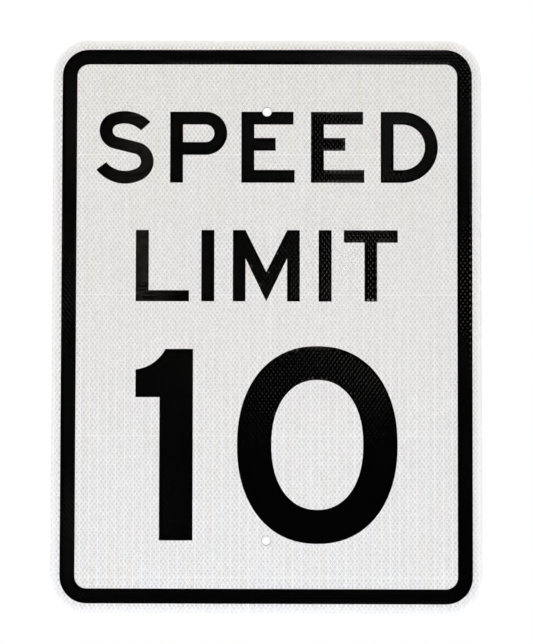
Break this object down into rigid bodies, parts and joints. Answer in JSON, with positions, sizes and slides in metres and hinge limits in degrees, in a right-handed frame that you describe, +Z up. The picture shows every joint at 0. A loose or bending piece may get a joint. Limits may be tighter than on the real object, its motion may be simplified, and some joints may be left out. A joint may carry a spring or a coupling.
{
  "type": "speed limit sign panel",
  "caption": "Flat upright aluminium traffic sign panel with rounded corners and bolt holes, faced in white prismatic sheeting with a black film border and legend.",
  "frame": {"origin": "centre of the bolt holes' pattern on the blank's back face, where the panel meets its post", "axes": "+Z up along the panel, +Y out of its back towards the post, so the legend faces -Y; +X to the legend reader's right"},
  "size_m": [0.4572, 0.0025, 0.6096],
  "materials": {
    "sheet_aluminium": "satin mill finish",
    "adhesive": "cloudy",
    "white_sealing_film": "matte white",
    "prismatic_film": "glossy, with diamond cells",
    "black_film": "glossy black, dimpled over the cells"
  },
  "bodies": {
    "root": {"aluminium_blank": "sheet_aluminium", "adhesive_layer": "adhesive", "sealing_film": "white_sealing_film", "prism_film": "prismatic_film", "border_film": "black_film", "letter_s": "black_film", "letter_p": "black_film", "letter_e_first": "black_film", "letter_e_second": "black_film", "letter_d": "black_film", "letter_l": "black_film", "letter_i_first": "black_film", "letter_m": "black_film", "letter_i_second": "black_film", "letter_t": "black_film", "digit_one": "black_film", "digit_zero": "black_film"}
  },
  "joints": []
}
